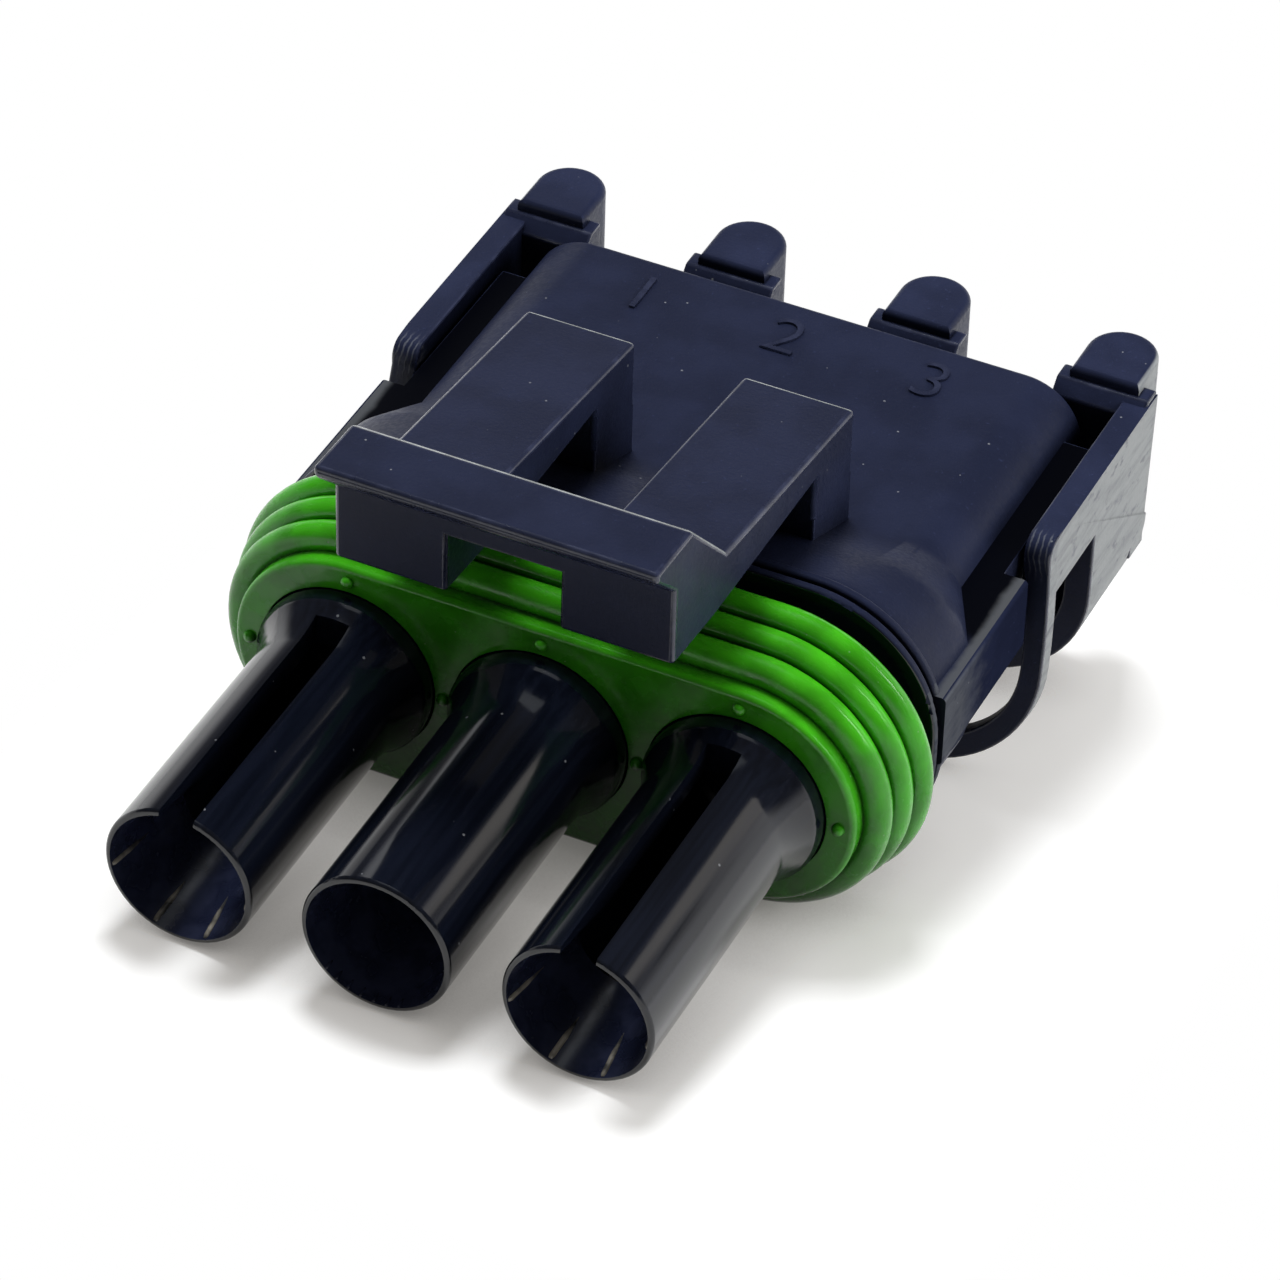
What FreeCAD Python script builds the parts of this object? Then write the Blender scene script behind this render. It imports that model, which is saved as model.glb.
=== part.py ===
import FreeCAD, Part
import math
import os

Vector = FreeCAD.Vector

# Frame: millimetres, +Z up to the latch, +Y towards the wires, X along the row of terminals.
# The origin is the centre of the middle tower's mouth.

# Row of terminals
ways = 3
pitch = 8.0

# Round terminal towers
tower_radius = 3.0
tower_rim_round = 0.18
tower_length = 10.8
boss_radius = 3.6
boss_flare_length = 2.0
boss_length = 2.2
keyway_width = 1.4
keyway_length = 12.1

# Terminal passage through each tower and the body
mouth_wall = 0.22
funnel_length = 4.2
contact_bore_radius = 2.0
contact_bore_length = 14.0
lance_bore_radius = 2.3
cable_bore_radius = 2.75
cable_bore_length = 13.0
cable_mouth_flare = 0.35
bore_step_length = 1.0

# Ribbed interface seal round the roots of the towers
seal_face_gap = 0.5
seal_wall = 1.4
seal_core_wall = 0.5
seal_plate_radius = 4.8
seal_plate_edge = 0.25
seal_plate_length = 0.75
seal_rib_count = 3
seal_rib_pitch = 1.15
seal_crest = 6.3
seal_rib_step = 0.3
seal_rib_depth = 0.42
seal_fit = 0.04
dot_radius = 0.26
dot_offset = 0.5

# Housing collar behind the seal: two thin beads on a rounded rectangle
groove_width = 1.2
collar_side = 5.6
collar_half_height = 5.95
collar_corner = 5.4
collar_step = 0.22
collar_bead_width = 0.42
collar_bead_round = 0.15
collar_bead_count = 2
collar_bead_pitch = 0.6

# Body behind the collar: it keeps its width over the shoulder, then narrows to the waist
shoulder_length = 2.7
shoulder_side = 5.4
shoulder_half_height = 5.0
shoulder_corner = 4.1
flare_length = 5.7
body_length = 11.65
body_half_height = 3.8
body_side = 3.8
body_corner = 2.5
rear_edge_round = 0.3

# Side rails, guides and catches on the body
rail_out = 5.7
rail_top = 2.3
rail_bottom = -0.9
rail_length = 7.2
rail_round = 0.2
guide_length = 8.6
catch_length = 3.0
catch_height = 1.7
catch_top = -0.35
catch_ramp = 0.7

# Secondary lock: a shell round the sides and bottom of the body, a comb at its back, two arms and two straps
shell_wall = 1.1
shell_gap = 1.1
shell_radius = 5.25
shell_side_bottom = -2.85
shell_length = 5.95
arm_top = 3.0
arm_band_height = 2.9
notch_length = 3.9
comb_gap = 0.6
comb_thickness = 1.4
comb_wall_top = -2.4
comb_foot = -4.3
finger_width = 3.85
finger_top = 3.2
finger_bevel = 0.55
knob_radius = 1.45
knob_back = 1.1
knob_top = 3.7
knob_round = 0.3
catch_clearance = 0.1
strap_width = 0.9
strap_lean = 8.0
strap_bow = 0.25
strap_top = 2.0
strap_side = 0.9
strap_foot = 1.15
root_width = 1.8
root_gap = 0.6

# Mating latch: crossbar and two arms on a foot
latch_half_width = 6.8
latch_gap = 4.5
latch_front = 10.0
latch_rear = 25.8
latch_underside = 7.9
latch_leg_bottom = 8.15
latch_leg_length = 3.4
latch_rear_height = 8.9
foot_length = 3.4
foot_seat = 6.0
bar_reach = 1.62
bar_nose = 0.45
bar_top = 13.45
bar_top_fall = 0.1
bar_depth = 2.95
bar_neck = 11.5
bar_underside = 10.7
bar_slope_length = 3.1
bar_slope_foot = 10.2

# How far a cutting shape runs past the face that it cuts
past = 1.0

# Places along the row and along the terminals
row_half = pitch * (ways - 1) / 2
columns = [pitch * (n - (ways - 1) / 2) for n in range(ways)]
boss_front = tower_length + boss_flare_length
seal_front = boss_front + seal_face_gap
core_front = seal_front + seal_wall
seal_plate_rear = seal_front + seal_plate_length
seal_rear = seal_plate_rear + seal_rib_count * seal_rib_pitch
seal_core_radius = seal_plate_radius - seal_core_wall
collar_front = seal_rear + groove_width
collar_rear = collar_front + collar_bead_count * collar_bead_pitch
flare_rear = collar_rear + flare_length
body_rear = flare_rear + body_length
body_half_width = row_half + body_side
shell_inner = body_half_width + shell_gap
shell_outer = shell_inner + shell_wall
shell_bottom = shell_side_bottom - shell_radius
guide_out = shell_inner - catch_clearance
comb_front = body_rear + comb_gap
comb_rear = comb_front + comb_thickness
shell_front = comb_rear - shell_length
arm_front = shell_front - notch_length - strap_width
rail_rear = collar_rear + rail_length


def box(x0, x1, y0, y1, z0, z1):
    return Part.makeBox(x1 - x0, y1 - y0, z1 - z0, Vector(x0, y0, z0))


def mirrored(shape):
    return shape.mirror(Vector(0, 0, 0), Vector(1, 0, 0))


def both_sides(shape):
    return [shape, mirrored(shape)]


def joined(shapes):
    result = shapes[0].fuse(shapes[1:]) if len(shapes) > 1 else shapes[0]
    return result.removeSplitter()


def side_plate(points, x0, x1):
    """A plate with its outline in the Y-Z plane, from x0 to x1."""
    corners = [Vector(x0, y, z) for y, z in points]
    face = Part.Face(Part.makePolygon(corners + corners[:1]))
    return face.extrude(Vector(x1 - x0, 0, 0))


def turned(profile, x):
    """A full turn of a closed (radius, y) outline about the line through x along Y."""
    corners = [Vector(x, y, r) for r, y in profile]
    face = Part.Face(Part.makePolygon(corners + corners[:1]))
    return face.revolve(Vector(x, 0, 0), Vector(0, 1, 0), 360)


def edge_face(edges):
    return Part.Face(Part.Wire(Part.__sortEdges__(edges)))


def stadium(edges):
    """A stadium-shaped solid: (radius, y) edges closed on the axis, turned at both ends of the row."""
    profile = edge_face(edges)
    right = profile.copy()
    right.translate(Vector(row_half, 0, 0))
    left = profile.copy()
    left.translate(Vector(-row_half, 0, 0))
    ends = [
        right.revolve(Vector(row_half, 0, 0), Vector(0, 1, 0), 180),
        left.revolve(Vector(-row_half, 0, 0), Vector(0, 1, 0), -180),
    ]
    top = left.extrude(Vector(2 * row_half, 0, 0))
    bottom = top.mirror(Vector(0, 0, 0), Vector(0, 0, 1))
    return joined(ends + [top, bottom])


def line(a, b):
    return Part.LineSegment(Vector(0, a[1], a[0]), Vector(0, b[1], b[0])).toShape()


def arc(a, middle, b):
    points = [Vector(0, y, r) for r, y in (a, middle, b)]
    return Part.Arc(*points).toShape()


def path(points):
    return [line(a, b) for a, b in zip(points, points[1:])]


def rounded_section(half_width, half_height, corner, y):
    """A rounded rectangle in the X-Z plane at y, as one wire of four arcs and four lines."""
    diagonal = corner * math.sqrt(0.5)
    bends = []
    for sx, sz in ((1, 1), (-1, 1), (-1, -1), (1, -1)):
        centre_x = sx * (half_width - corner)
        centre_z = sz * (half_height - corner)
        on_side = Vector(centre_x + sx * corner, y, centre_z)
        on_bend = Vector(centre_x + sx * diagonal, y, centre_z + sz * diagonal)
        on_flat = Vector(centre_x, y, centre_z + sz * corner)
        bends.append((on_side, on_bend, on_flat) if sx == sz else (on_flat, on_bend, on_side))
    edges = []
    for bend, following in zip(bends, bends[1:] + bends[:1]):
        edges.append(Part.Arc(*bend).toShape())
        edges.append(Part.LineSegment(bend[2], following[0]).toShape())
    return Part.Wire(edges)


def tower(x):
    """One round tower with its rounded rim, flaring smoothly to the boss that goes through the seal."""
    rim = tower_rim_round
    slant = rim * (1 - math.sqrt(0.5))
    flare_rise = boss_radius - tower_radius
    boss_end = boss_front + boss_length
    edges = path([(0, 0), (tower_radius - rim, 0)])
    edges.append(arc((tower_radius - rim, 0), (tower_radius - slant, slant), (tower_radius, rim)))
    edges.append(line((tower_radius, rim), (tower_radius, tower_length)))
    middle = (tower_radius + flare_rise / 4, (tower_length + boss_front) / 2)
    edges.append(arc((tower_radius, tower_length), middle, (boss_radius, boss_front)))
    edges += path([(boss_radius, boss_front), (boss_radius, boss_end), (0, boss_end), (0, 0)])
    solid = edge_face(edges).revolve(Vector(0, 0, 0), Vector(0, 1, 0), 360)
    solid.translate(Vector(x, 0, 0))
    return solid


def terminal_passage(x):
    """The stepped hole for one terminal: funnel, contact bore, lance chamber and cable seal bore."""
    lance_front = contact_bore_length
    cable_front = body_rear - cable_bore_length
    end = body_rear + past
    mouth = tower_radius - mouth_wall
    flare = cable_bore_radius + cable_mouth_flare
    return turned([
        (0, -past), (mouth, -past), (mouth, 0), (contact_bore_radius, funnel_length),
        (contact_bore_radius, lance_front), (lance_bore_radius, lance_front + bore_step_length),
        (lance_bore_radius, cable_front), (cable_bore_radius, cable_front + bore_step_length),
        (cable_bore_radius, body_rear - cable_mouth_flare), (flare, body_rear),
        (flare, end), (0, end),
    ], x)


def keyway(x):
    """The slot along the top of an outer tower, from its mouth to the flare."""
    return box(x - keyway_width / 2, x + keyway_width / 2, -past, keyway_length, 0, boss_radius + past)


def plain_stadium(radius, front, rear):
    return stadium(path([(0, front), (radius, front), (radius, rear), (0, rear), (0, front)]))


def collar_section(step, y):
    return rounded_section(row_half + collar_side - step, collar_half_height - step, collar_corner - step, y)


def collar():
    """The front collar: a band with thin rounded beads round it."""
    band = Part.Face(collar_section(collar_step, collar_front))
    band = band.extrude(Vector(0, collar_rear - collar_front, 0))
    pieces = [band]
    for n in range(collar_bead_count):
        start = collar_front + n * collar_bead_pitch
        bead = Part.Face(collar_section(0, start)).extrude(Vector(0, collar_bead_width, 0))
        pieces.append(bead.makeFillet(collar_bead_round, bead.Edges))
    return pieces


def body_shell():
    """The shoulder and the flare behind the collar, and the flat body with its rounded rear edge."""
    front = collar_section(collar_step, collar_rear)
    shoulder_y = collar_rear + shoulder_length
    shoulder = rounded_section(row_half + shoulder_side, shoulder_half_height, shoulder_corner, shoulder_y)
    waist = rounded_section(body_half_width, body_half_height, body_corner, flare_rear)
    shoulder_solid = Part.makeLoft([front, shoulder], True, True)
    flare = Part.makeLoft([shoulder, waist], True, True)
    prism = Part.Face(waist).extrude(Vector(0, body_length, 0))
    rear = [edge for edge in prism.Edges if edge.BoundBox.YMin > body_rear - rear_edge_round]
    return [shoulder_solid, flare, prism.makeFillet(rear_edge_round, rear)]


def side_rail():
    """The rail at one side, the guide behind it and the ramped catch in the lock's notch."""
    outer = row_half + rail_out
    inner = body_half_width - body_corner
    start = collar_front + collar_bead_pitch
    rail = box(inner, outer, start, rail_rear, rail_bottom, rail_top)
    long_edges = [
        edge for edge in rail.Edges
        if edge.BoundBox.YLength > rail_round and edge.BoundBox.XMin > outer - rail_round
    ]
    rail = rail.makeFillet(rail_round, long_edges)
    guide_face = guide_out - catch_clearance
    guide = box(inner, guide_face, rail_rear, rail_rear + guide_length, rail_bottom, rail_top)
    catch_front = shell_front - notch_length + catch_ramp
    catch_rear = catch_front + catch_length
    corners = [
        Vector(inner, catch_front, 0), Vector(guide_out - catch_ramp, catch_front, 0),
        Vector(guide_out, catch_rear, 0), Vector(inner, catch_rear, 0),
    ]
    catch = Part.Face(Part.makePolygon(corners + corners[:1])).extrude(Vector(0, 0, catch_height))
    catch.translate(Vector(0, 0, catch_top - catch_height))
    return [rail, guide, catch]


def strap_root():
    """The rib under the body that carries the inner end of one strap."""
    start = collar_front + collar_bead_pitch
    lean = math.tan(math.radians(strap_lean)) * (strap_top - shell_bottom)
    foot_front = arm_front - lean - root_gap
    foot_rear = arm_front + strap_width + root_gap
    return side_plate([
        (start, 0), (start, collar_step - collar_half_height), (foot_front, shell_bottom),
        (foot_rear, shell_bottom), (foot_rear, 0),
    ], row_half - root_width, row_half)


def latch_seat():
    """The pad on the body under one foot of the latch."""
    return box(latch_gap / 2, latch_half_width, latch_rear - foot_length, latch_rear, 0, foot_seat)


def housing():
    core = plain_stadium(seal_core_radius, core_front, collar_front)
    solids = [tower(x) for x in columns] + [core] + collar() + body_shell()
    for piece in side_rail() + [strap_root(), latch_seat()]:
        solids += both_sides(piece)
    solid = joined(solids)
    cuts = [terminal_passage(x) for x in columns] + [keyway(x) for x in (columns[0], columns[-1])]
    return solid.cut(cuts).removeSplitter()


def interface_seal():
    """Green silicone ring: a flat front plate with three holes, then ribs that grow towards the rear."""
    plate_edge = seal_plate_radius - seal_plate_edge
    edges = path([(0, seal_front), (plate_edge, seal_front)])
    edge_end = seal_front + seal_plate_edge
    slant = seal_plate_edge * (1 - math.sqrt(0.5))
    bend = (seal_plate_radius - slant, seal_front + slant)
    edges.append(arc((plate_edge, seal_front), bend, (seal_plate_radius, edge_end)))
    edges.append(line((seal_plate_radius, edge_end), (seal_plate_radius, seal_plate_rear)))
    valley = seal_plate_radius
    for n in range(seal_rib_count):
        start = seal_plate_rear + n * seal_rib_pitch
        end = start + seal_rib_pitch
        crest = seal_crest - seal_rib_step * (seal_rib_count - 1 - n)
        next_valley = crest - seal_rib_depth
        edges.append(arc((valley, start), (crest, (start + end) / 2), (next_valley, end)))
        valley = next_valley
    edges += path([(valley, seal_rear), (0, seal_rear), (0, seal_front)])
    hollow = plain_stadium(seal_core_radius + seal_fit, core_front, seal_rear + past)
    hole = boss_radius + seal_fit
    depth = seal_wall + 2 * past
    start = seal_front - past
    holes = [Part.makeCylinder(hole, depth, Vector(x, start, 0), Vector(0, 1, 0)) for x in columns]
    ring = stadium(edges).cut([hollow] + holes)
    reach = hole + dot_offset
    places = [(x, reach) for x in columns] + [(x, -reach) for x in columns]
    places += [(columns[0] - reach, 0), (columns[-1] + reach, 0)]
    places += [((a + b) / 2, 0) for a, b in zip(columns, columns[1:])]
    dots = [Part.makeSphere(dot_radius, Vector(x, seal_front, z)) for x, z in places]
    return joined([ring] + dots)


def lower_bend(radius, side, y):
    """Three points of the round lower corner of the lock: at the side, half way round, at the bottom."""
    centre = shell_outer - shell_radius
    slant = radius * math.sqrt(0.5)
    return [
        Vector(side * (centre + radius), y, shell_side_bottom),
        Vector(side * (centre + slant), y, shell_side_bottom - slant),
        Vector(side * centre, y, shell_side_bottom - radius),
    ]


def trough_section(offset, top, y):
    """The U-shaped outline of the lock, drawn in from its outer face by offset and closed at the top."""
    right = lower_bend(shell_radius - offset, 1, y)
    left = lower_bend(shell_radius - offset, -1, y)
    half = shell_outer - offset
    edges = [
        Part.LineSegment(Vector(-half, y, top), Vector(half, y, top)).toShape(),
        Part.LineSegment(Vector(half, y, top), right[0]).toShape(),
        Part.Arc(*right).toShape(),
        Part.LineSegment(right[2], left[2]).toShape(),
        Part.Arc(*left).toShape(),
        Part.LineSegment(left[0], Vector(-half, y, top)).toShape(),
    ]
    return edge_face(edges)


def lock_shell():
    """The U-shaped shell round the rear of the body, with a closed lower half at its back."""
    outer = trough_section(0, arm_top, shell_front).extrude(Vector(0, shell_length, 0))
    inner = trough_section(shell_wall, arm_top + past, shell_front - past)
    inner = inner.extrude(Vector(0, shell_length + 2 * past, 0))
    back = trough_section(0, comb_wall_top, comb_front).extrude(Vector(0, comb_thickness, 0))
    return [outer.cut(inner), back]


def lock_arm():
    """The upper band of one side, from the shell forward over the notch to the strap."""
    bottom = arm_top - arm_band_height
    return box(shell_inner, shell_outer, arm_front, shell_front + shell_wall, bottom, arm_top)


def strap():
    """One J-shaped strap: down from the arm's front end, round and in to the root under the body."""
    centre = shell_outer + strap_bow - shell_radius
    level = shell_side_bottom
    outer_side = shell_outer + strap_bow
    inner_side = outer_side - strap_side
    inner_foot = shell_bottom + strap_foot
    inner_radius = level - inner_foot
    inner_centre = inner_side - inner_radius
    slant = math.sqrt(0.5)
    inner_slant = inner_radius * slant

    def at(x, z):
        return Vector(x, arm_front, z)

    middle = (strap_top + level) / 2
    bow = strap_bow / 4
    edges = [
        Part.LineSegment(at(shell_inner, strap_top), at(shell_outer, strap_top)).toShape(),
        Part.Arc(at(shell_outer, strap_top), at(outer_side - bow, middle), at(outer_side, level)).toShape(),
        Part.Arc(
            at(outer_side, level), at(centre + shell_radius * slant, level - shell_radius * slant),
            at(centre, shell_bottom)).toShape(),
        Part.LineSegment(at(centre, shell_bottom), at(row_half, shell_bottom)).toShape(),
        Part.LineSegment(at(row_half, shell_bottom), at(row_half, inner_foot)).toShape(),
        Part.LineSegment(at(row_half, inner_foot), at(inner_centre, inner_foot)).toShape(),
        Part.Arc(
            at(inner_centre, inner_foot), at(inner_centre + inner_slant, level - inner_slant),
            at(inner_side, level)).toShape(),
        Part.Arc(at(inner_side, level), at(inner_side - bow, middle), at(shell_inner, strap_top)).toShape(),
    ]
    band = edge_face(edges).extrude(Vector(0, strap_width, 0))
    band.rotate(Vector(0, arm_front, strap_top), Vector(1, 0, 0), -strap_lean)
    return band


def comb_finger(x):
    """One finger of the comb: a flat front plate with a bevelled top and a round-backed rib behind."""
    half = finger_width / 2
    plate = side_plate([
        (comb_front, comb_foot), (comb_rear, comb_foot), (comb_rear, finger_top),
        (comb_front + finger_bevel, finger_top), (comb_front, finger_top - finger_bevel),
    ], x - half, x + half)
    centre = comb_rear + knob_back
    rib = Part.makeCylinder(knob_radius, knob_top - comb_foot, Vector(x, centre, comb_foot))
    web_front = comb_front + comb_thickness / 2
    web = box(x - knob_radius, x + knob_radius, web_front, centre, comb_foot, knob_top)
    knob = rib.fuse(web).removeSplitter()
    top = [edge for edge in knob.Edges if edge.BoundBox.ZMin > knob_top - knob_round]
    return [plate, knob.makeFillet(knob_round, top)]


def secondary_lock():
    pieces = lock_shell()
    for n in range(ways + 1):
        pieces += comb_finger(pitch * (n - ways / 2))
    for piece in (lock_arm(), strap()):
        pieces += both_sides(piece)
    return joined(pieces)


def bar_outline(foot):
    """The head of the latch in the Y-Z plane: neck, nose and top, closed by the points of the foot."""
    nose = latch_front - bar_reach
    back = nose + bar_depth
    return [
        (latch_front, bar_neck), (nose, bar_top - bar_nose), (nose, bar_top), (back, bar_top - bar_top_fall),
    ] + foot


def latch_arm():
    """One arm of the latch with its share of the head: leg, flat underside, sloping top and foot."""
    leg_rear = latch_front + latch_leg_length
    foot_front = latch_rear - foot_length
    slope_end = latch_front - bar_reach + bar_depth + bar_slope_length
    return side_plate(bar_outline([
        (slope_end, bar_slope_foot), (latch_rear, latch_rear_height), (latch_rear, foot_seat),
        (foot_front, foot_seat), (foot_front, latch_underside), (leg_rear, latch_underside),
        (latch_front, latch_leg_bottom),
    ]), latch_gap / 2, latch_half_width)


def latch_bar():
    """The part of the crossbar between the arms, which ends above the window."""
    slope_end = latch_front - bar_reach + bar_depth + bar_slope_length
    slope = bar_slope_length / (bar_top - bar_top_fall - bar_slope_foot)
    rear = slope_end - slope * (bar_underside - bar_slope_foot)
    return side_plate(bar_outline([(rear, bar_underside), (latch_front, bar_underside)]),
                      -latch_gap / 2, latch_gap / 2)


def mating_latch():
    return joined(both_sides(latch_arm()) + [latch_bar()])


def save(name, shape):
    shape.exportStep("parts/" + name + ".step")
    print(name, len(shape.Solids), shape.isValid(), round(shape.Volume, 2))


def main():
    os.makedirs("parts", exist_ok=True)
    save("housing", housing())
    save("interface_seal", interface_seal())
    save("secondary_lock", secondary_lock())
    save("mating_latch", mating_latch())


main()
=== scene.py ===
import math

import bmesh
import bpy
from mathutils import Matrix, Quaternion, Vector


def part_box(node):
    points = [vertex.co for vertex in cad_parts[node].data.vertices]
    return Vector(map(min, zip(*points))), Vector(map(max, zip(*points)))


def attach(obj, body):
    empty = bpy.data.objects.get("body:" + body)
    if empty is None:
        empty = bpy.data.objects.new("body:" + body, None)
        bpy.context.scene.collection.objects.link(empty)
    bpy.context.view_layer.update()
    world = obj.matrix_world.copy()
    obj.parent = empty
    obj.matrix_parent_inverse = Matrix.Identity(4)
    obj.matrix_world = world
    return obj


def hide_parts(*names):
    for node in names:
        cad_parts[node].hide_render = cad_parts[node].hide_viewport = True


bl_info = {
    "name": "Sealed Wire Connector",
    "version": (1, 0, 0),
    "blender": (4, 5, 0),
    "location": "3D View > Sidebar > Connector",
    "description": "Dresses a three-way sealed wire connector and builds its studio",
    "category": "Object",
}

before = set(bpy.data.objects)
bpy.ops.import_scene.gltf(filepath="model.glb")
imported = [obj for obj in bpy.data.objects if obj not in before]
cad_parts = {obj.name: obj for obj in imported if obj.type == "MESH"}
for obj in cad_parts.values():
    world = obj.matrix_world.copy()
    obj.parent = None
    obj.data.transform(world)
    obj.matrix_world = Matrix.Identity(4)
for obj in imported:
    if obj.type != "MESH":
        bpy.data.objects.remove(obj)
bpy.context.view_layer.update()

# Frame: metres, +Z up to the latch, +Y towards the wires, X along the row of terminals.
MM = 0.001
ways = 3
pitch = 8.0 * MM
tower_root = 14.4 * MM
mouth_radius = 2.78 * MM
bore_radius = 2.0 * MM
funnel_length = 4.2 * MM
body_flat = 9.3 * MM
groove_rear = 18.75 * MM
rail_face = 13.2 * MM
rail_top = 2.3 * MM
rail_rear = 27.3 * MM
body_top = 3.8 * MM
latch_seat = 6.0 * MM
lock_front = 28.5 * MM
lock_top = 3.0 * MM
number_line = 33.9 * MM
number_pitch = 6.2 * MM
number_thinning = -0.012
rear_edge_low = 8.5 * MM
fin_inset = 0.08 * MM
bead_inset = 0.02 * MM
seal_rest = Vector((0.0, 16.93 * MM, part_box("interface_seal")[0].z))
strap_rest = Vector((0.0, 26.5 * MM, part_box("housing")[0].z))
part_middle = Vector((0.0, 18.0 * MM, 0.0))
camera_aim = Vector((0.88 * MM, 20.13 * MM, -0.3 * MM))
weld_distance = 0.002 * MM
flat_angle = math.radians(0.3)
round_angle = math.radians(35)
smooth_angle = math.radians(32)
lamp_distance = 0.42
strip_distance = 0.45
floor_reach = 1.5
# Rays for the painted shade in crevices and under other pieces.
painted_shade_rays = 4
below_rays = 24

# Directions of the fins and beads on the funnel walls, in degrees round the passage.
fin_angles = (100, 158, 202, 260)
bead_angles = range(160, 237, 11)

# Material slots of the mouldings. The rounded edges always take slot 1.
burnished_slot = 1
polished_slot = 2
highlight_edge_slot = 2
rail_slot = 3
painted_shade_slot = 4

# Places that the materials use, in millimetres, as low and high ends of a soft step.
# Where the pale rubbing on the rails' outer sides fades out, darker towards their rear.
rail_fade_span = (21.5, 26.0)
crease_run = (28.9, 29.7)
crease_height = (1.1, 2.3)
# Painted shade starts in the trough here, and a painted highlight runs along the rail tops' outer edges.
trough_shade_start = (22.0, 23.4)
trough_highlight_edge = (13.25, 13.6)
shadow_middle = (2.0, 18.0)
shadow_half_width = (20.0, 23.0)
shadow_half_length = (26.0, 29.0)

# Colours that no user needs to change.
black = (0.0, 0.0, 0.0, 1.0)
white = (1.0, 1.0, 1.0, 1.0)
grey_dust = (0.30, 0.31, 0.33, 1.0)
green_dust = (0.45, 0.62, 0.40, 1.0)
crease_tone = (0.16, 0.17, 0.20, 1.0)
# Colour of the floor's painted contact shadow.
floor_shade = (0.30, 0.27, 0.24, 1.0)
floor_glow = (1.0, 0.965, 0.92, 1.0)
room_tint = (1.0, 0.97, 0.93, 1.0)
# Pale colour of the painted highlight along the rail tops' outer edges.
trough_highlight_pale = (0.10, 0.105, 0.115)
fin_dark = (0.06, 0.058, 0.054)
# Pale tone of the painted glint on the funnel fins.
fin_glint_pale = (0.45, 0.41, 0.34)


def length(name, description, default, **limits):
    """A length that a user may change, in metres."""
    return bpy.props.FloatProperty(
        name=name, description=description, default=default, subtype="DISTANCE", unit="LENGTH", precision=5,
        **limits)


def colour(name, description, default):
    """A linear colour that a user may change."""
    return bpy.props.FloatVectorProperty(
        name=name, description=description, default=default, size=3, min=0.0, max=1.0, subtype="COLOR")


def turn(name, description, degrees):
    """An angle that a user may change, given in degrees."""
    return bpy.props.FloatProperty(
        name=name, description=description, default=math.radians(degrees), subtype="ANGLE")


def power(name, description, default):
    """The power of a light that a user may change, in watts."""
    return bpy.props.FloatProperty(name=name, description=description, default=default, min=0.0, unit="POWER")


class ConnectorSizes(bpy.types.PropertyGroup):
    """Small sizes that the mouldings get on top of the plain solids."""

    latch_round: length("Latch edge round", "Radius of the outer edges of the latch", 0.19 * MM, min=0.0)
    lock_round: length("Lock edge round", "Radius of the outer edges of the lock", 0.1 * MM, min=0.0)
    strap_bend: length("Strap bend", "Radius where the lock's arm turns into its strap", 0.7 * MM, min=0.0)
    housing_round: length("Housing edge round", "Radius of the housing's outer edges", 0.09 * MM, min=0.0)
    seal_round: length("Seal edge round", "Radius of the outer edges of the seal", 0.05 * MM, min=0.0)
    number_height: length("Number height", "Height of the way numbers on the body", 3.2 * MM, min=0.0)
    number_relief: length("Number relief", "How far the way numbers stand out", 0.09 * MM, min=0.0)
    fin_radius: length("Fin radius", "Radius of the fins in the outer funnels", 0.12 * MM, min=0.0)
    fin_length: length("Fin length", "Length of the fins in the outer funnels", 2.2 * MM, min=0.0)
    bead_radius: length("Bead radius", "Radius of the beads at the middle mouth", 0.07 * MM, min=0.0)
    bead_length: length("Bead length", "Length of the beads at the middle mouth", 0.5 * MM, min=0.0)


class ConnectorColours(bpy.types.PropertyGroup):
    """Base colours of the materials."""

    # Painted highlight: the pale colour of the latch's upper rear edges, which also stands in for the light
    # that they catch from behind.
    edge: colour("Rubbed edge", "Upper rear edges of the latch, pale from rubbing", (0.26, 0.28, 0.28))
    nylon: colour("Nylon", "Grained black nylon of the body, latch and lock", (0.0150, 0.0190, 0.044))
    polished: colour("Polished nylon", "Polished black nylon of the towers", (0.003, 0.004, 0.008))
    scuff: colour("Scuff", "Rubbed nylon on the outside of the lock", (0.37, 0.385, 0.39))
    silicone: colour("Silicone", "Green silicone of the seal", (0.050, 0.395, 0.009))
    floor: colour("Floor", "Plain white floor", (0.76, 0.76, 0.76))


class ConnectorStage(bpy.types.PropertyGroup):
    """Camera and light."""

    azimuth: turn("Azimuth", "Camera direction round the part", 24.34)
    elevation: turn("Elevation", "Camera height above the part's own level", 39.5)
    roll: turn("Roll", "Turn of the camera about its own axis", 1.84)
    distance: length("Distance", "From the camera to the point that it aims at", 245.0 * MM, min=0.01)
    lens: bpy.props.FloatProperty(
        name="Lens", description="Focal length", default=182.3, min=10.0, subtype="DISTANCE_CAMERA")
    key_power: power("Key light", "Power of the overhead softbox", 1.28)
    window_power: power("Window", "Power of the soft window that the gloss shows", 0.09)
    right_power: power("Right light", "Power of the softbox at the right", 1.1)
    left_power: power("Left light", "Power of the softbox at the left", 0.4)
    seal_power: power("Seal strip", "Power of the strip light that only the seal shows", 0.22)
    strip_power: power("Strip lights", "Power of each strip light at the back", 0.05)
    fill: bpy.props.FloatProperty(
        name="Fill", description="Strength of the even light from all sides", default=0.15, min=0.0)
    room: bpy.props.FloatProperty(
        name="Room", description="Brightness of the room above as the gloss shows it", default=0.08, min=0.0)


# Nodes of a material


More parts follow.
